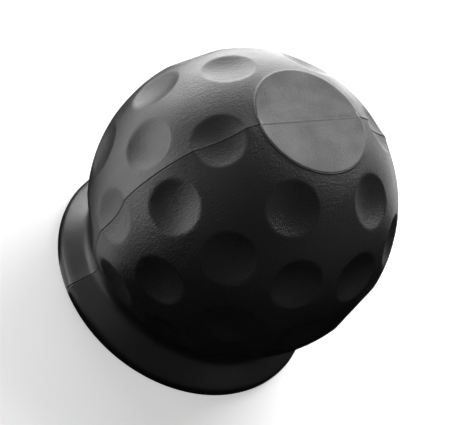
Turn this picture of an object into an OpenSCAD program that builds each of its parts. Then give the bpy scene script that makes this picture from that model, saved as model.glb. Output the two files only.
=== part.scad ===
// Tow ball cover: a dimpled rubber ball, moulded in one piece with a flared skirt.
// It pushes down over a tow ball, which snaps through the throat into the pocket.
// The part stands on its rim, with the crown up and the origin in the middle of the rim.

/* [Ball] */
// Diameter of the tow ball that the pocket holds
tow_ball_d = 50; // [48:0.5:54]
// Thickness of the rubber round the pocket
wall = 11; // [9.5:0.25:13]
// Height of the ball's centre above the rim
ball_h = 34; // [32:0.5:37]

/* [Crown disc] */
// Diameter of the flat disc on the crown
disc_d = 27.8; // [20:0.2:30]
// Height of the disc's edge above the ball
disc_step = 0.5; // [0.2:0.1:1]
// Radius of the cove between the disc's edge and the ball
disc_cove_r = 3; // [1.5:0.5:6]

/* [Dimples] */
// Diameter of a dimple at its edge
dimple_d = 12.6; // [8:0.2:13]
// Depth of a dimple below the ball's surface
dimple_depth = 1.4; // [0.8:0.1:2.5]
// Radius that softens a dimple's edge
dimple_edge_r = 2; // [1:0.25:4]
// Angle between neighbouring rings, seen from the ball's centre
ring_step = 26; // [25:0.5:27]
// Dimples in each wide ring
ring_count = 12; // [6:1:12]
// Dimples in the ring next to the disc
crown_count = 6; // [3:1:6]

/* [Skirt] */
// Diameter across the rolled edge of the rim
rim_d = 65.5; // [64:0.5:70]
// Radius of the rolled edge
rim_r = 2.5; // [1.5:0.1:2.8]
// Slope of the flare, down from level
flare_angle = 45; // [38:1:52]
// Radius of the fillet between the ball and the flare
neck_r = 3.5; // [1:0.25:4]

/* [Inside] */
// How far the throat closes in all round below the pocket
throat_grip = 3; // [2:0.25:5]
// Length of the throat's straight wall
throat_l = 6; // [4:0.5:8]
// Radius that leads from the throat into the mouth
mouth_r = 5; // [2:0.5:8]
// Width of the lip at the rim, from the rolled edge to the mouth
lip_w = 5; // [4.2:0.1:6]
// Size of the broken edge inside the rim
lip_break = 0.5; // [0.2:0.1:1]
// Least thickness between the neck and the mouth
neck_wall = 2.5; // [2:0.25:2.75]

/* [Mould line] */
// Width of the fine line that the mould leaves
seam_w = 0.5; // [0.3:0.1:1]
// Height of the mould line above the skin
seam_h = 0.2; // [0.1:0.05:0.4]

/* [Hidden] */
$fn = 96;
overrun = 1; // how far a cutter runs past the face that it opens
bite = 0.01; // how far a blend's circle cuts into the faces that it blends

pocket_r = tow_ball_d / 2;
ball_r = pocket_r + wall;
ball_c = [0, ball_h]; // in the profile plane: distance from the axis, height
beyond = 2 * ball_r; // longer than any profile

// Crown disc: its edge, and the centre of the cove that is tangent to the ball and meets that edge
disc_r = disc_d / 2;
disc_z = ball_h + sqrt(ball_r * ball_r - disc_r * disc_r) + disc_step;
disc_edge = norm([disc_r, disc_z - ball_h]);
cove_reach = ball_r + disc_cove_r - bite;
cove_turn = acos((disc_edge * disc_edge + cove_reach * cove_reach - disc_cove_r * disc_cove_r)
    / (2 * disc_edge * cove_reach));
cove_angle = atan(disc_r / (disc_z - ball_h)) + cove_turn; // from the axis
cove_c = ball_c + cove_reach * [sin(cove_angle), cos(cove_angle)];

// Rolled edge, and the neck fillet that is tangent to the ball and to the flare
rim_c = [rim_d / 2 - rim_r, rim_r - bite];
flare_normal = [sin(flare_angle), cos(flare_angle)];
flare_reach = rim_r - bite; // from the rolled edge's centre to the flare
neck_reach = ball_r + neck_r - bite;
neck_gap = (rim_c - ball_c) * flare_normal + flare_reach + neck_r - bite; // along the flare's normal
neck_angle = asin(neck_gap / neck_reach) - flare_angle; // from level
neck_c = ball_c + neck_reach * [cos(neck_angle), sin(neck_angle)];

// Throat and mouth. The mouth's cone runs up from the lip, tangent to the round at the throat's end,
// and leans in further where it would come too near the neck
function slope_past(centre, radius) = let (way = centre - mouth_edge)
    atan2(way[1], way[0]) + asin(radius / norm(way));
throat_r = pocket_r - throat_grip;
throat_top = ball_h - sqrt(pocket_r * pocket_r - throat_r * throat_r);
mouth_edge = [rim_d / 2 - lip_w, 0];
mouth_angle = max(
    slope_past([throat_r + mouth_r, throat_top - throat_l], mouth_r),
    slope_past(neck_c, neck_r + neck_wall)
);
mouth_slope = [cos(mouth_angle), sin(mouth_angle)]; // up the mouth's cone
mouth_out = [mouth_slope[1], -mouth_slope[0]]; // from the cone into the rubber
throat_end = (mouth_r - (throat_r + mouth_r - mouth_edge[0]) * mouth_out[0]) / mouth_out[1];
mouth_c = [throat_r + mouth_r, throat_end];
mouth_top = mouth_c - mouth_r * mouth_out;

// Dimples, measured from the ball's centre: a ball-nosed scoop with the stated width and depth,
// and the centre of the round that is tangent to the scoop and to the ball
dimple_r = dimple_d / 2;
scoop_sag = dimple_depth - ball_r + sqrt(ball_r * ball_r - dimple_r * dimple_r);
scoop_r = (dimple_r * dimple_r + scoop_sag * scoop_sag) / (2 * scoop_sag);
scoop_c = [0, ball_r - dimple_depth + scoop_r];
edge_reach = ball_r - dimple_edge_r + bite;
edge_gap = scoop_r + dimple_edge_r - bite; // from the scoop's centre
edge_angle = acos((edge_reach * edge_reach + scoop_c[1] * scoop_c[1] - edge_gap * edge_gap)
    / (2 * edge_reach * scoop_c[1]));
edge_dir = [sin(edge_angle), cos(edge_angle)];

// Half profiles of the outer form, with every face moved outwards by grow.
// The crown: a flat disc whose edge falls to the ball in a cove
module crown_half(grow = 0) {
    flat_z = disc_z + grow;
    difference() {
        polygon([ball_c, [0, flat_z], [(flat_z - ball_h) * tan(cove_angle), flat_z]]);
        translate(cove_c) circle(disc_cove_r - grow);
    }
}

// The ball below its disc, the neck, the flare and the rolled edge
module ball_half(grow = 0) {
    difference() {
        union() {
            intersection() {
                translate(ball_c) circle(ball_r + grow);
                square([beyond, disc_z + grow]);
            }
            polygon([
                [0, 0], [rim_c[0], 0], rim_c,
                rim_c + (flare_reach + grow) * flare_normal,
                neck_c - (neck_r - bite - grow) * flare_normal,
                neck_c, ball_c
            ]);
            translate(rim_c) circle(rim_r + grow);
        }
        translate(neck_c) circle(neck_r - grow);
        translate([-beyond, -beyond]) square([2 * beyond, beyond]);
    }
}

// Half of the hollow's profile: pocket, straight throat and flared mouth
module hollow_half() {
    difference() {
        union() {
            intersection() {
                translate(ball_c) circle(pocket_r);
                square([beyond, ball_h + beyond]);
            }
            polygon([
                [0, -overrun], [mouth_edge[0] + lip_break + overrun, -overrun],
                mouth_edge + [lip_break, 0], mouth_edge + lip_break * mouth_slope,
                mouth_top, mouth_c, [throat_r, throat_end], [throat_r, ball_h], ball_c
            ]);
        }
        translate(mouth_c) circle(mouth_r);
    }
}

// Half of one dimple's cutter, a lens at the top of a ball that has its centre at the origin
module scoop_half(grow) {
    intersection() {
        difference() {
            union() {
                translate(scoop_c) circle(scoop_r - grow);
                polygon([scoop_c, edge_reach * edge_dir, (ball_r + 2 * overrun) * edge_dir]);
            }
            translate(edge_reach * edge_dir) circle(dimple_edge_r + grow);
        }
        circle(ball_r + overrun);
        square([beyond, beyond]);
    }
}

// All the dimples. Each ring is turned by half a step from the ring above it, and the mould line
// runs through the first dimple of the crown ring
module scoops(grow = 0) {
    translate([0, 0, ball_h])
        for (ring = [-1:2]) {
            count = ring == 2 ? crown_count : ring_count;
            turn = ring % 2 == 0 ? 0 : 180 / ring_count;
            for (i = [0:count - 1])
                rotate([0, 90 - ring * ring_step, turn + i * 360 / count])
                    rotate_extrude() scoop_half(grow);
        }
}

// The skin, filled solid
module skin() {
    difference() {
        union() {
            rotate_extrude() ball_half();
            rotate_extrude() crown_half();
        }
        scoops();
    }
}

// The fine line where the two halves of the mould met, all round in the XZ plane
module mould_line() {
    difference() {
        rotate([90, 0, 0])
            for (side = [0, 1])
                mirror([side, 0, 0])
                    linear_extrude(seam_w, center = true) {
                        ball_half(seam_h);
                        crown_half(seam_h);
                    }
        scoops(seam_h);
    }
}

module cover() {
    color("#1c1c1e")
        difference() {
            union() {
                skin();
                mould_line();
            }
            rotate_extrude() hollow_half();
        }
}

cover();
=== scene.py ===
# %% [markdown]
# # A rubber cover for a tow ball
#
# The real thing is one moulding of black rubber: a ball with rings of dimples, a flat disc on its
# crown, and a skirt that flares out to a rolled edge. It is hollow, so that it snaps down over the
# ball of a tow hitch. This lesson models its skin, gives the rubber its grain, and sets up a small
# studio round it.

# %% Load the fixed model that the skin has to match
from math import acos, asin, atan2, cos, degrees, hypot, pi, radians, sin, sqrt, tan

import bpy
import numpy as np
from mathutils import Matrix, Vector


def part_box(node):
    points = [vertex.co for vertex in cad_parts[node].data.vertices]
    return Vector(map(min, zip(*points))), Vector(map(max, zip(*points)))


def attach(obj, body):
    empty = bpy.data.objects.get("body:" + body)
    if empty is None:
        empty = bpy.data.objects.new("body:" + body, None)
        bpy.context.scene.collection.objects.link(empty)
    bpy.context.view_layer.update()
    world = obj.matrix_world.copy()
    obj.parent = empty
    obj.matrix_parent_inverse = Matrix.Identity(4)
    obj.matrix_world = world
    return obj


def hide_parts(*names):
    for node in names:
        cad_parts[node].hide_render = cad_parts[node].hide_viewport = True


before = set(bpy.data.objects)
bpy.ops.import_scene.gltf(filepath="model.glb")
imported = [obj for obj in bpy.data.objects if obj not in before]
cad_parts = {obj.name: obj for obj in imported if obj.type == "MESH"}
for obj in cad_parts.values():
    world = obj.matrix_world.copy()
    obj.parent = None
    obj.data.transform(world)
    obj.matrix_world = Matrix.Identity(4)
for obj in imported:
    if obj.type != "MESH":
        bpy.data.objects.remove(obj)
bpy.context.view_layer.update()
low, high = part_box("cover")
print("the solid cover reaches from", tuple(low), "to", tuple(high))

# %% [markdown]
# ## Sizes
#
# A mould maker works from a drawing, so the sizes come first. Blender works in metres here, and
# the drawing in millimetres. Everything is measured from the middle of the rim, where the cover
# stands, and the ball's centre is on the axis. Three sizes are not the drawing's: the dimples here
# are 0.2 mm deeper, and the disc stands 0.2 mm lower with a narrower cove. They were chosen beside
# the photo.

# %% Sizes in millimetres, and one angle
MM = 0.001
BALL_R = 36.0
BALL_H = 34.0
POCKET_R = 25.0
DISC_R = 13.9
DISC_STEP = 0.3
COVE_R = 1.0
DIMPLE_R = 6.3
DIMPLE_DEPTH = 1.6
RIM_R = 32.75
ROLL_R = 2.5
FLARE = radians(45)
NECK_R = 3.5
THROAT_R = 22.0
THROAT_LENGTH = 6.0
MOUTH_ROUND = 5.0
LIP_WIDTH = 5.0
LIP_BREAK = 0.5

# %% [markdown]
# ## The profile
#
# A round body is turned from a profile, like a pot on a wheel. Ours starts at the middle of the
# crown, runs over the disc, down the ball, round the skirt and its lip, and up the inside to the
# top of the pocket. Straight stretches are extruded from the last point. Arcs are made by Spin,
# which swings the last point round a centre. A sphere primitive would be quicker, but its rows
# could not be placed, and the dimples need a row of points through their centres.

# %% A point to start from
def work_on(piece):
    """Leaves one piece selected and active."""
    bpy.ops.object.select_all(action="DESELECT")
    piece.select_set(True)
    bpy.context.view_layer.objects.active = piece


bpy.ops.object.select_all(action="DESELECT")
bpy.ops.mesh.primitive_plane_add(size=MM, location=(0, 0, 0))
cover = bpy.context.active_object
cover.name = "rubber_cover"
bpy.ops.object.mode_set(mode="EDIT")
bpy.ops.mesh.select_mode(type="VERT")
bpy.ops.mesh.select_all(action="SELECT")
bpy.ops.mesh.merge(type="CENTER")


# %% Two tools to draw with: a straight line and an arc
class Pencil:
    """Draws the profile in the XZ plane. It holds the last point, in millimetres."""

    def __init__(self, x, z):
        self.at = (x, z)
        bpy.ops.transform.translate(value=(x * MM, 0, z * MM))

    def line(self, x, z, steps=1):
        """Extrudes the last point to a place, in equal steps."""
        dx = (x - self.at[0]) / steps
        dz = (z - self.at[1]) / steps
        for _ in range(steps):
            bpy.ops.mesh.extrude_region_move(
                TRANSFORM_OT_translate={"value": (dx * MM, 0, dz * MM)})
        self.at = (x, z)

    def arc(self, centre, turn, steps):
        """Swings the last point round a centre. A positive turn goes from the crown to the side."""
        bpy.ops.mesh.spin(steps=steps, angle=turn, axis=(0, -1, 0),
                          center=(centre[0] * MM, 0, centre[1] * MM))
        x = self.at[0] - centre[0]
        z = self.at[1] - centre[1]
        self.at = (centre[0] + x * cos(turn) + z * sin(turn), centre[1] - x * sin(turn) + z * cos(turn))


def heading(centre, point):
    """The angle of a point seen from a centre, from straight up towards the side."""
    return atan2(point[0] - centre[0], point[1] - centre[1])


# %% Where the arcs have their centres
ball_c = (0.0, BALL_H)
disc_z = BALL_H + sqrt(BALL_R ** 2 - DISC_R ** 2) + DISC_STEP

edge_far = hypot(DISC_R, disc_z - BALL_H)
cove_far = BALL_R + COVE_R
cove_at = atan2(DISC_R, disc_z - BALL_H) + acos(
    (edge_far ** 2 + cove_far ** 2 - COVE_R ** 2) / (2 * edge_far * cove_far))
cove_c = (cove_far * sin(cove_at), BALL_H + cove_far * cos(cove_at))

roll_c = (RIM_R - ROLL_R, ROLL_R)
flare_out = (sin(FLARE), cos(FLARE))
neck_gap = roll_c[0] * flare_out[0] + (roll_c[1] - BALL_H) * flare_out[1] + ROLL_R + NECK_R
neck_at = pi / 2 + FLARE - asin(neck_gap / (BALL_R + NECK_R))
neck_c = ((BALL_R + NECK_R) * sin(neck_at), BALL_H + (BALL_R + NECK_R) * cos(neck_at))

throat_top = BALL_H - sqrt(POCKET_R ** 2 - THROAT_R ** 2)
mouth_c = (THROAT_R + MOUTH_ROUND, throat_top - THROAT_LENGTH)
mouth_x = RIM_R - LIP_WIDTH
mouth_slope = atan2(mouth_c[1], mouth_c[0] - mouth_x) + asin(
    MOUTH_ROUND / hypot(mouth_c[0] - mouth_x, mouth_c[1]))
mouth_up = (cos(mouth_slope), sin(mouth_slope))
print("the cove meets the ball", round(degrees(cove_at), 2), "degrees from the crown,",
      "and the neck leaves it at", round(degrees(neck_at), 2))

# %% [markdown]
# The ball's rows are two thirds of a degree apart, from 76 thirds down to just above the neck. That
# puts a row through the middle of each ring of dimples.

# %% Draw the outside: disc, cove, ball, neck, flare and rolled edge
ROW = radians(2 / 3)
FIRST_ROW = radians(76 / 3)
BALL_ROWS = 156
DISC_BORDER = 0.6

pencil = Pencil(0, disc_z)
pencil.line(DISC_R - DISC_BORDER, disc_z, steps=5)
pencil.line(DISC_R, disc_z)
pencil.arc(cove_c, cove_at + pi - heading(cove_c, (DISC_R, disc_z)) - 2 * pi, 5)
pencil.arc(ball_c, FIRST_ROW - cove_at, 1)
pencil.arc(ball_c, BALL_ROWS * ROW, BALL_ROWS)
pencil.arc(ball_c, neck_at - FIRST_ROW - BALL_ROWS * ROW, 1)
pencil.arc(neck_c, FLARE - neck_at, 10)
pencil.line(roll_c[0] + ROLL_R * flare_out[0], roll_c[1] + ROLL_R * flare_out[1], steps=4)
pencil.arc(roll_c, pi - FLARE, 9)
print("the rolled edge ends at", [round(value, 3) for value in pencil.at], "mm")

# %% Draw the inside: lip, mouth, throat and pocket
pencil.line(mouth_x + LIP_BREAK, 0)
pencil.line(mouth_x + LIP_BREAK * mouth_up[0], LIP_BREAK * mouth_up[1])
mouth_run = sqrt((mouth_c[0] - mouth_x) ** 2 + mouth_c[1] ** 2 - MOUTH_ROUND ** 2)
pencil.line(mouth_x + mouth_run * mouth_up[0], mouth_run * mouth_up[1], steps=2)
pencil.arc(mouth_c, mouth_slope - pi / 2, 3)
pencil.line(THROAT_R, throat_top, steps=1)
pencil.arc(ball_c, -heading(ball_c, (THROAT_R, throat_top)), 15)
print("the pocket closes at", [round(value, 3) for value in pencil.at], "mm")

# %% [markdown]
# ## The turned body
#
# Spin carries the whole profile once round the axis. With 432 steps there is a column every five
# sixths of a degree, so one runs through the middle of every dimple, and the cells on the ball are
# about half a millimetre wide. The ends of the profile lie on the axis, where the copies of the
# point are merged into one. Then all faces are turned to point outwards.

# %% Spin the profile and close it
COLUMNS = 432
bpy.ops.mesh.select_all(action="SELECT")
bpy.ops.mesh.spin(steps=COLUMNS, angle=2 * pi, axis=(0, 0, 1), center=(0, 0, 0), use_auto_merge=True)
bpy.ops.mesh.select_all(action="SELECT")
bpy.ops.mesh.remove_doubles(threshold=0.001 * MM)
bpy.ops.mesh.normals_make_consistent(inside=False)
bpy.ops.object.mode_set(mode="OBJECT")
print("the body has", len(cover.data.vertices), "points and", len(cover.data.polygons), "faces")


# %% Choosing points by their place
def places():
    """Every point of the cover, in millimetres."""
    found = np.empty(len(cover.data.vertices) * 3)
    cover.data.vertices.foreach_get("co", found)
    return found.reshape(-1, 3) / MM


def choose(chosen):
    """Opens the cover in edit mode with just these points selected."""
    work_on(cover)
    cover.data.vertices.foreach_set("select", chosen)
    cover.data.edges.foreach_set("select", np.zeros(len(cover.data.edges), bool))
    cover.data.polygons.foreach_set("select", np.zeros(len(cover.data.polygons), bool))
    bpy.ops.object.mode_set(mode="EDIT")
    bpy.ops.mesh.select_mode(type="VERT")


# %% [markdown]
# ## The dimples
#
# The dimples sit in four rings. The ring next to the disc has six and the others twelve, and each
# ring is turned by 15 degrees from the next. Boring 42 holes with a Boolean would cut the grid of
# points to pieces. Instead the middle point of every dimple is pushed in with proportional editing,
# which takes the points around along. The Inverse Square falloff gives just the bowl of a scoop:
# deepest in the middle, and steepest at the lip. One push makes all of them.

# %% Find the middle point of every dimple
RINGS = [(38, 6, 0), (64, 12, 15), (90, 12, 0), (116, 12, 15)]
centres = []
for polar, count, turn in RINGS:
    for i in range(count):
        azimuth = radians(turn + 360 * i / count)
        outward = Vector((sin(radians(polar)) * cos(azimuth), sin(radians(polar)) * sin(azimuth),
                          cos(radians(polar))))
        centres.append(Vector((0, 0, BALL_H)) + BALL_R * outward)
centres = np.array(centres)
points = places()
middles = np.zeros(len(points), bool)
for centre in centres:
    middles[np.argmin(np.linalg.norm(points - centre, axis=1))] = True
print(middles.sum(), "dimples, each on a point of the grid")

# %% Push them in
choose(middles)
bpy.ops.transform.shrink_fatten(value=-DIMPLE_DEPTH * MM, use_proportional_edit=True,
                                proportional_edit_falloff="INVERSE_SQUARE",
                                proportional_size=DIMPLE_R * MM)
bpy.ops.object.mode_set(mode="OBJECT")
depths = BALL_R - np.linalg.norm(places()[middles] - (0, 0, BALL_H), axis=1)
print("the dimples are", round(depths.min(), 2), "to", round(depths.max(), 2), "mm deep")

# %% [markdown]
# Moulded rubber has no quite sharp lips. Smooth Vertices relaxes only the band of points at
# the lips, so the bowls and the ball between them keep their curve.

# %% Soften the lips
LIP_BAND = 1.0
to_middle = np.full(len(points), np.inf)
for centre in centres:
    to_middle = np.minimum(to_middle, np.linalg.norm(points - centre, axis=1))
choose(np.abs(to_middle - DIMPLE_R) < LIP_BAND)
bpy.ops.mesh.vertices_smooth(factor=0.3, repeat=1)
bpy.ops.object.mode_set(mode="OBJECT")

# %% [markdown]
# ## The mould line
#
# The mould has two halves, which met in the plane through the axis. The rubber bulges a little
# towards that plane. One half stood a hair proud of the other, so the line where they met is a
# tiny step with a crack at its foot, which reads as a dark line. Bevel makes room for it: it
# spreads the column of points in the plane into five, and the new ones can be moved by hand.


# %% Tools to find and move points of the skin
OUTER_FROM = POCKET_R + 4
CLOSE = 0.05


def skin_points():
    """All points, which of them are on the outer skin, and how many columns off the plane they are."""
    points = places()
    far = np.linalg.norm(points - (0, 0, BALL_H), axis=1)
    across = np.hypot(points[:, 0], points[:, 1])
    skin = (far > OUTER_FROM) & (points[:, 2] > ROLL_R) & (across > DISC_R - CLOSE)
    column = 2 * pi / COLUMNS * np.maximum(across, 1)
    return points, skin, points[:, 1] / column


def push(chosen, height, width=0.0):
    """Pushes these points out of the surface, and with them what lies within the width."""
    choose(chosen)
    bpy.ops.transform.shrink_fatten(value=height * MM, use_proportional_edit=width > 0,
                                    proportional_edit_falloff="SHARP",
                                    proportional_size=max(width, 1) * MM)
    bpy.ops.object.mode_set(mode="OBJECT")


def hide(hidden):
    """Hides these points, so that a push leaves them alone."""
    choose(hidden)
    bpy.ops.mesh.hide(unselected=False)
    bpy.ops.object.mode_set(mode="OBJECT")


def show_all():
    """Shows the hidden points again."""
    work_on(cover)
    bpy.ops.object.mode_set(mode="EDIT")
    bpy.ops.mesh.reveal(select=False)
    bpy.ops.object.mode_set(mode="OBJECT")


# %% Spread the column in the plane into five
points, skin, columns_off = skin_points()
choose(skin & (np.abs(columns_off) < 0.01))
bpy.ops.mesh.bevel(offset_pct=60, offset_type="PERCENT", segments=4, affect="EDGES")
bpy.ops.object.mode_set(mode="OBJECT")
points, skin, columns_off = skin_points()
middle = skin & (np.abs(columns_off) < 0.1)
proud_lip = skin & (columns_off < -0.1) & (columns_off > -0.45)
print(middle.sum(), "points in the plane and", proud_lip.sum(), "on the lip beside them")

# %% Raise a low roof, lift one side of it, and open the crack
ROOF_HEIGHT = 0.3
ROOF_WIDTH = 6.0
LINE_STEP = 0.12
STEP_WIDTH = 3.0
CRACK_DEPTH = 0.12
DISC_CLEARANCE = 2.0
clear_of_disc = np.hypot(points[:, 0], points[:, 1]) > DISC_R + DISC_CLEARANCE
hide(~skin)
push(middle & clear_of_disc, ROOF_HEIGHT, ROOF_WIDTH)
hide(skin & (columns_off > -0.1))
push(proud_lip, LINE_STEP, STEP_WIDTH)
show_all()
push(middle, -CRACK_DEPTH)

# %% [markdown]
# ## The crown disc
#
# The disc's edge is rounded by a bevel. Its flat top becomes one big face, which Bisect can cut
# cleanly. The mould line is finer here than on the ball: a low ridge straight across the disc.
# A knife drawn by hand would not keep the cuts straight, and the disc's fan of triangles would
# shade in wedges.

# %% Round the disc's edge
DISC_REACH = 0.3
DISC_ROUND = 0.25
points = places()
across = np.hypot(points[:, 0], points[:, 1])
choose((np.abs(across - DISC_R) < CLOSE) & (np.abs(points[:, 2] - disc_z) < DISC_REACH))
bpy.ops.mesh.bevel(offset=DISC_ROUND * MM, offset_type="OFFSET", segments=3, affect="EDGES")
bpy.ops.object.mode_set(mode="OBJECT")

# %% Cut the disc along its ridge and raise it
RIDGE_CUTS = (-0.3, -0.15, 0.0, 0.15, 0.3)
RIDGE_HEIGHT = 0.12
LEVEL = 0.001


def on_disc(margin):
    """The points of the disc's flat top, up to a margin from its edge."""
    points = places()
    across = np.hypot(points[:, 0], points[:, 1])
    return (across < DISC_R - margin) & (np.abs(points[:, 2] - disc_z) < LEVEL)


choose(on_disc(0.5))
bpy.ops.mesh.dissolve_faces()
bpy.ops.object.mode_set(mode="OBJECT")
for cut in RIDGE_CUTS:
    choose(on_disc(0.2))
    bpy.ops.mesh.bisect(plane_co=(0, cut * MM, 0), plane_no=(0, 1, 0))
    bpy.ops.object.mode_set(mode="OBJECT")
choose(on_disc(0.2) & (np.abs(places()[:, 1]) < LEVEL))
bpy.ops.transform.translate(value=(0, 0, RIDGE_HEIGHT * MM))
bpy.ops.mesh.select_all(action="SELECT")
bpy.ops.mesh.normals_make_consistent(inside=False)
bpy.ops.object.mode_set(mode="OBJECT")
work_on(cover)
bpy.ops.object.shade_smooth()
cover.data.calc_loop_triangles()
print("the cover has", len(cover.data.loop_triangles), "triangles")


# %% [markdown]
# ## The rubber
#
# Black rubber soaks up nearly all light. What is seen of it is the broad sheen of its skin, so the
# base colour stays near black and the finish is a matter of roughness and grain. The photo shows
# three kinds of marks: fine grain, a leathery mottling, and drag marks along the mould line. Image
# textures would need an unwrapped skin and would blur close by. Noise on the Object coordinates
# gives the same grain everywhere, at its true size.

# %% A helper that adds a node with its values set
def add(tree, kind, **values):
    """Adds a shader node, sets the values of its inputs and its properties, and returns it."""
    node = tree.nodes.new(kind)
    for name, value in values.items():
        label = name.replace("_", " ").title()
        if label in node.inputs:
            node.inputs[label].default_value = value
        else:
            setattr(node, name, value)
    return node


# %% [markdown]
# The skirt in the photo is smoother than the ball, so the grain fades between two heights. The sheen
# is a little uneven over larger spots. The colour, the index of refraction and the roughness can't
# be told apart from the lamps in one photo, so they are guesses that go with these lamps.

# %% The moulded skin
RUBBER_COLOUR = (0.01, 0.01, 0.0105, 1)
RUBBER_IOR = 1.65
GRAIN_SIZE = 0.3
MOTTLE_SIZE = 0.8
DRAG_SIZE = 0.4
DRAG_STRETCH = 6
SHEEN_SIZE = 7.0
GRAIN_GLOSS = 0.1
SHEEN_GLOSS = 0.12
SMOOTH_UNDER = 9.0
ROUGH_OVER = 16.0
SMOOTH_SHARE = 0.3


def noise_height(tree, place, size, stretch, detail):
    """Noise with spots of a size in millimetres, stretched along X, Y and Z."""
    mapping = add(tree, "ShaderNodeMapping")
    mapping.inputs["Scale"].default_value = [1 / (size * MM * way) for way in stretch]
    noise = add(tree, "ShaderNodeTexNoise", scale=1.0, detail=detail, roughness=0.6)
    tree.links.new(place.outputs["Object"], mapping.inputs["Vector"])
    tree.links.new(mapping.outputs["Vector"], noise.inputs["Vector"])
    return noise.outputs["Fac"]


def moulded_rubber(name, roughness, grain_depth, mottle_depth, drag_depth):
    """Black rubber with its grain, mottling and drag marks, whose depths are in millimetres."""
    material = bpy.data.materials.new(name)
    material.use_nodes = True
    tree = material.node_tree
    skin = tree.nodes["Principled BSDF"]
    skin.inputs["Base Color"].default_value = RUBBER_COLOUR
    skin.inputs["IOR"].default_value = RUBBER_IOR
    place = add(tree, "ShaderNodeTexCoord")
    grain = noise_height(tree, place, GRAIN_SIZE, (1, 1, 1), 3)
    mottle = noise_height(tree, place, MOTTLE_SIZE, (1, 1, 1), 2)
    drag = noise_height(tree, place, DRAG_SIZE, (DRAG_STRETCH, 1, DRAG_STRETCH), 2)
    apart = add(tree, "ShaderNodeSeparateXYZ")
    tree.links.new(place.outputs["Object"], apart.inputs["Vector"])
    worn = add(tree, "ShaderNodeMapRange")
    worn.inputs["From Min"].default_value = SMOOTH_UNDER * MM
    worn.inputs["From Max"].default_value = ROUGH_OVER * MM
    worn.inputs["To Min"].default_value = SMOOTH_SHARE
    worn.inputs["To Max"].default_value = 1.0
    tree.links.new(apart.outputs["Z"], worn.inputs["Value"])
    gloss = add(tree, "ShaderNodeMapRange")
    gloss.inputs["To Min"].default_value = roughness - GRAIN_GLOSS
    gloss.inputs["To Max"].default_value = roughness + GRAIN_GLOSS
    tree.links.new(grain, gloss.inputs["Value"])
    sheen = noise_height(tree, place, SHEEN_SIZE, (1, 1, 1), 2)
    uneven = add(tree, "ShaderNodeMapRange")
    uneven.inputs["To Min"].default_value = -SHEEN_GLOSS
    uneven.inputs["To Max"].default_value = SHEEN_GLOSS
    finish = add(tree, "ShaderNodeMath", operation="ADD")
    tree.links.new(sheen, uneven.inputs["Value"])
    tree.links.new(gloss.outputs["Result"], finish.inputs[0])
    tree.links.new(uneven.outputs["Result"], finish.inputs[1])
    tree.links.new(finish.outputs[0], skin.inputs["Roughness"])
    normal = None
    for height, depth in ((grain, grain_depth), (mottle, mottle_depth), (drag, drag_depth)):
        bump = add(tree, "ShaderNodeBump", distance=depth * MM)
        tree.links.new(height, bump.inputs["Height"])
        tree.links.new(worn.outputs["Result"], bump.inputs["Strength"])
        if normal:
            tree.links.new(normal, bump.inputs["Normal"])
        normal = bump.outputs["Normal"]
    tree.links.new(normal, skin.inputs["Normal"])
    return material


skin = moulded_rubber("moulded_rubber", 0.36, 0.09, 0.05, 0.05)
disc_skin = moulded_rubber("matte_disc_rubber", 0.6, 0.06, 0.03, 0.0)
cover.data.materials.append(skin)
cover.data.materials.append(disc_skin)

# %% Give the disc its own finish
DISC_EDGE = 0.1
points = places()
across = np.hypot(points[:, 0], points[:, 1])
choose((across < DISC_R - DISC_EDGE) & (np.abs(points[:, 2] - disc_z) < DISC_REACH))
cover.active_material_index = 1
bpy.ops.mesh.select_mode(type="FACE")
bpy.ops.object.material_slot_assign()
bpy.ops.object.mode_set(mode="OBJECT")
print(sum(face.material_index == 1 for face in cover.data.polygons), "faces are the disc's")

# %% [markdown]
# ## The studio
#
# The cover stands on white paper. The paper glows a little in the eyes of the camera and in
# mirror images, so that it is white around the cover but keeps the cover's shadow.

# %% Floor
FLOOR_SIZE = 8
PAPER_WHITE = (0.8, 0.8, 0.8, 1)
PAPER_GLOW = 0.5
bpy.ops.object.select_all(action="DESELECT")
bpy.ops.mesh.primitive_plane_add(size=FLOOR_SIZE, location=(0, 0, 0))
floor = bpy.context.active_object
floor.name = "floor"
paper = bpy.data.materials.new("white_paper")
paper.use_nodes = True
tree = paper.node_tree
tree.nodes.remove(tree.nodes["Principled BSDF"])
matt = add(tree, "ShaderNodeBsdfDiffuse", color=PAPER_WHITE)
glow = add(tree, "ShaderNodeEmission")
rays = add(tree, "ShaderNodeLightPath")
seen = add(tree, "ShaderNodeMath", operation="ADD")
seen_too = add(tree, "ShaderNodeMath", operation="ADD")
seen_too.use_clamp = True
level = add(tree, "ShaderNodeMath", operation="MULTIPLY")
level.inputs[1].default_value = PAPER_GLOW
tree.links.new(rays.outputs["Is Camera Ray"], seen.inputs[0])
tree.links.new(rays.outputs["Is Glossy Ray"], seen.inputs[1])
tree.links.new(seen.outputs[0], seen_too.inputs[0])
tree.links.new(rays.outputs["Is Transmission Ray"], seen_too.inputs[1])
tree.links.new(seen_too.outputs[0], level.inputs[0])
tree.links.new(level.outputs[0], glow.inputs["Strength"])
both = add(tree, "ShaderNodeAddShader")
tree.links.new(matt.outputs[0], both.inputs[0])
tree.links.new(glow.outputs[0], both.inputs[1])
tree.links.new(both.outputs[0], tree.nodes["Material Output"].inputs["Surface"])
floor.data.materials.append(paper)

# %% [markdown]
# A photographer keeps a black thing black with black card. A round card lies under the cover and
# behind it, which keeps its outline dark, and a straight one lies in front. Only mirror images see
# them. The camera, the shadow and the paper's light do not.

# %% Black card
black = bpy.data.materials.new("black_card")
black.use_nodes = True
black.node_tree.nodes["Principled BSDF"].inputs["Base Color"].default_value = (0, 0, 0, 1)
black.node_tree.nodes["Principled BSDF"].inputs["Specular IOR Level"].default_value = 0


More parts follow.
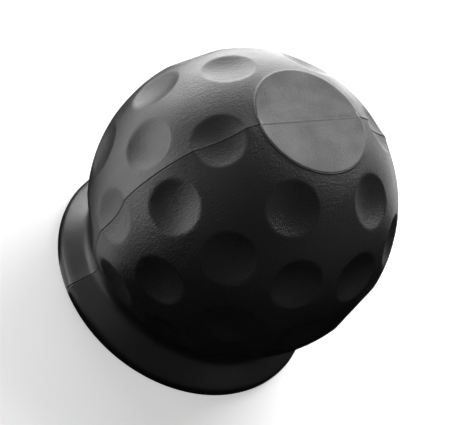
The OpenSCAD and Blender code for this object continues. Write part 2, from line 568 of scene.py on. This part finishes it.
def only_in_mirrors(card, name):
    """Names a card, makes it black, and hides it from all but glossy rays."""
    card.name = name
    card.data.materials.append(black)
    card.visible_camera = False
    card.visible_shadow = False
    card.visible_diffuse = False
    return card


ROUND_CARD_R = 0.075
ROUND_CARD_AT = (-0.030, -0.050, 0.0007)
FRONT_CARD_HEIGHT = 0.0005
FRONT_CARD_TURN = radians(90)
FRONT_CARD_WIDTH = 2.4
FRONT_CARD_DEPTH = 1.2
bpy.ops.object.select_all(action="DESELECT")
bpy.ops.mesh.primitive_circle_add(vertices=96, radius=ROUND_CARD_R, fill_type="NGON",
                                  location=ROUND_CARD_AT)
round_card = only_in_mirrors(bpy.context.active_object, "round_black_card")
bpy.ops.object.select_all(action="DESELECT")
bpy.ops.mesh.primitive_plane_add(size=1, location=(0, 0, 0))
front_card = only_in_mirrors(bpy.context.active_object, "front_black_card")
front_card.scale = (FRONT_CARD_DEPTH, FRONT_CARD_WIDTH, 1)
front_card.rotation_euler = (0, 0, FRONT_CARD_TURN)
front_card.location = (FRONT_CARD_DEPTH / 2 * cos(FRONT_CARD_TURN),
                       FRONT_CARD_DEPTH / 2 * sin(FRONT_CARD_TURN), FRONT_CARD_HEIGHT)
print("the round card reaches", round(ROUND_CARD_R / MM), "mm from its middle")

# %% [markdown]
# ## The lights
#
# The sheen on the photographed cover sits on its far side: a bright band over the ball behind the
# disc, a low one down its left side, and a glow on the skirt. So the softboxes stand behind it, and
# weak ones fill the front. A lamp's radiance is that of a glowing sheet of its size. The strengths
# were tuned until this view's tones came near the photo's. They are a choice, not a measurement.

# %% Lights
ROOM_GLOW = 0.08
world = bpy.data.worlds.new("studio")
bpy.context.scene.world = world
world.use_nodes = True
world.node_tree.nodes["Background"].inputs["Color"].default_value = (1, 1, 1, 1)
world.node_tree.nodes["Background"].inputs["Strength"].default_value = ROOM_GLOW
LAMP_DISTANCE = 0.7


def glowing_sheet(name, width, tall, radiance):
    """A rectangular lamp that the camera doesn't see."""
    light = bpy.data.lights.new(name, "AREA")
    light.shape = "RECTANGLE"
    light.size = width
    light.size_y = tall
    light.energy = radiance * pi * light.size * light.size_y
    lamp = bpy.data.objects.new(name, light)
    bpy.context.scene.collection.objects.link(lamp)
    lamp.visible_camera = False
    return lamp


def softbox(name, azimuth, height, width, tall, radiance):
    """A lamp that faces the cover. All its angles are in degrees."""
    lamp = glowing_sheet(name, 2 * LAMP_DISTANCE * tan(radians(width / 2)),
                         2 * LAMP_DISTANCE * tan(radians(tall / 2)), radiance)
    turn = radians(azimuth)
    rise = radians(height)
    aim = Vector((0, 0, BALL_H * MM))
    away = Vector((cos(rise) * cos(turn), cos(rise) * sin(turn), sin(rise)))
    lamp.location = aim + LAMP_DISTANCE * away
    lamp.rotation_euler = (aim - lamp.location).to_track_quat("-Z", "Y").to_euler()


softbox("back_wide", 240, 30, 90, 70, 0.75)
softbox("back_low", 258, 5, 60, 20, 5.5)
softbox("back_left", 270, 16, 30, 12, 1)
softbox("back_right", 214, 32, 32, 16, 9)
softbox("back_high", 206, 50, 35, 30, 5)
softbox("left_low", 325, 3, 30, 20, 3)
softbox("left_fill", 345, 42, 50, 45, 0.25)
softbox("right_fill", 118, 33, 40, 40, 0.1)

# %% [markdown]
# Some of the glow in the photo comes from low down, where no softbox can stand. Flat panels on the
# paper give it.


# %% Panels that lie on the paper and shine up
PANEL_HEIGHT = 0.001


def panel(name, azimuth, near, far, width, radiance):
    """A lamp flat on the paper, from near to far in metres along one direction."""
    lamp = glowing_sheet(name, far - near, width, radiance)
    turn = radians(azimuth)
    middle = (near + far) / 2
    lamp.location = (middle * cos(turn), middle * sin(turn), PANEL_HEIGHT)
    lamp.rotation_euler = (pi, 0, -turn)


panel("left_panel", 315, 0.1, 0.45, 0.25, 1.5)
panel("near_panel", 338, 0.07, 0.2, 0.05, 1.0)
panel("back_panel", 250, 0.1, 0.5, 0.2, 2.5)
print(len(bpy.data.lights), "lamps stand round the cover")

# %% [markdown]
# ## The camera
#
# The camera stands about where the photographer's stood. Its place was worked out from the photo: the
# outline of the ball gives the place and the size, and the tilt comes from the disc, which looks
# like an ellipse, and from the mould line across it. The lens is shifted a little, because the ball
# isn't in the middle of the photo.

# %% Camera
PHOTO_WIDTH, PHOTO_HEIGHT = 459, 425
BALL_AT = (242.75, 203.47)
TO_THE_RIGHT = (-0.810, 0.374, 0.452)
TO_THE_CAMERA = (0.5815, 0.409, 0.703)
FOCAL_PIXELS = 2370
DISTANCE = 549.0
camera_data = bpy.data.cameras.new("camera")
camera = bpy.data.objects.new("camera", camera_data)
bpy.context.scene.collection.objects.link(camera)
bpy.context.scene.camera = camera
right = Vector(TO_THE_RIGHT).normalized()
back = Vector(TO_THE_CAMERA)
back = (back - back.dot(right) * right).normalized()
up = back.cross(right)
turned = Matrix((right, up, back)).transposed().to_4x4()
turned.translation = Vector((0, 0, BALL_H * MM)) + DISTANCE * MM * back
camera.matrix_world = turned
camera_data.sensor_width = 36
camera_data.lens = FOCAL_PIXELS * camera_data.sensor_width / PHOTO_WIDTH
camera_data.shift_x = (PHOTO_WIDTH / 2 - BALL_AT[0]) / PHOTO_WIDTH
camera_data.shift_y = (BALL_AT[1] - PHOTO_HEIGHT / 2) / PHOTO_WIDTH
camera_data.clip_start = 0.01
camera_data.clip_end = 20
bpy.context.scene.view_settings.view_transform = "Standard"
print("the camera is", DISTANCE, "mm from the ball's centre, with a lens of", round(camera_data.lens), "mm")

# %% [markdown]
# ## Handing the cover over
#
# The skin rides on the part's only body, and takes the place of the solid that it was made to match.

# %% Hand the cover over
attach(cover, "root")
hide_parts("cover")
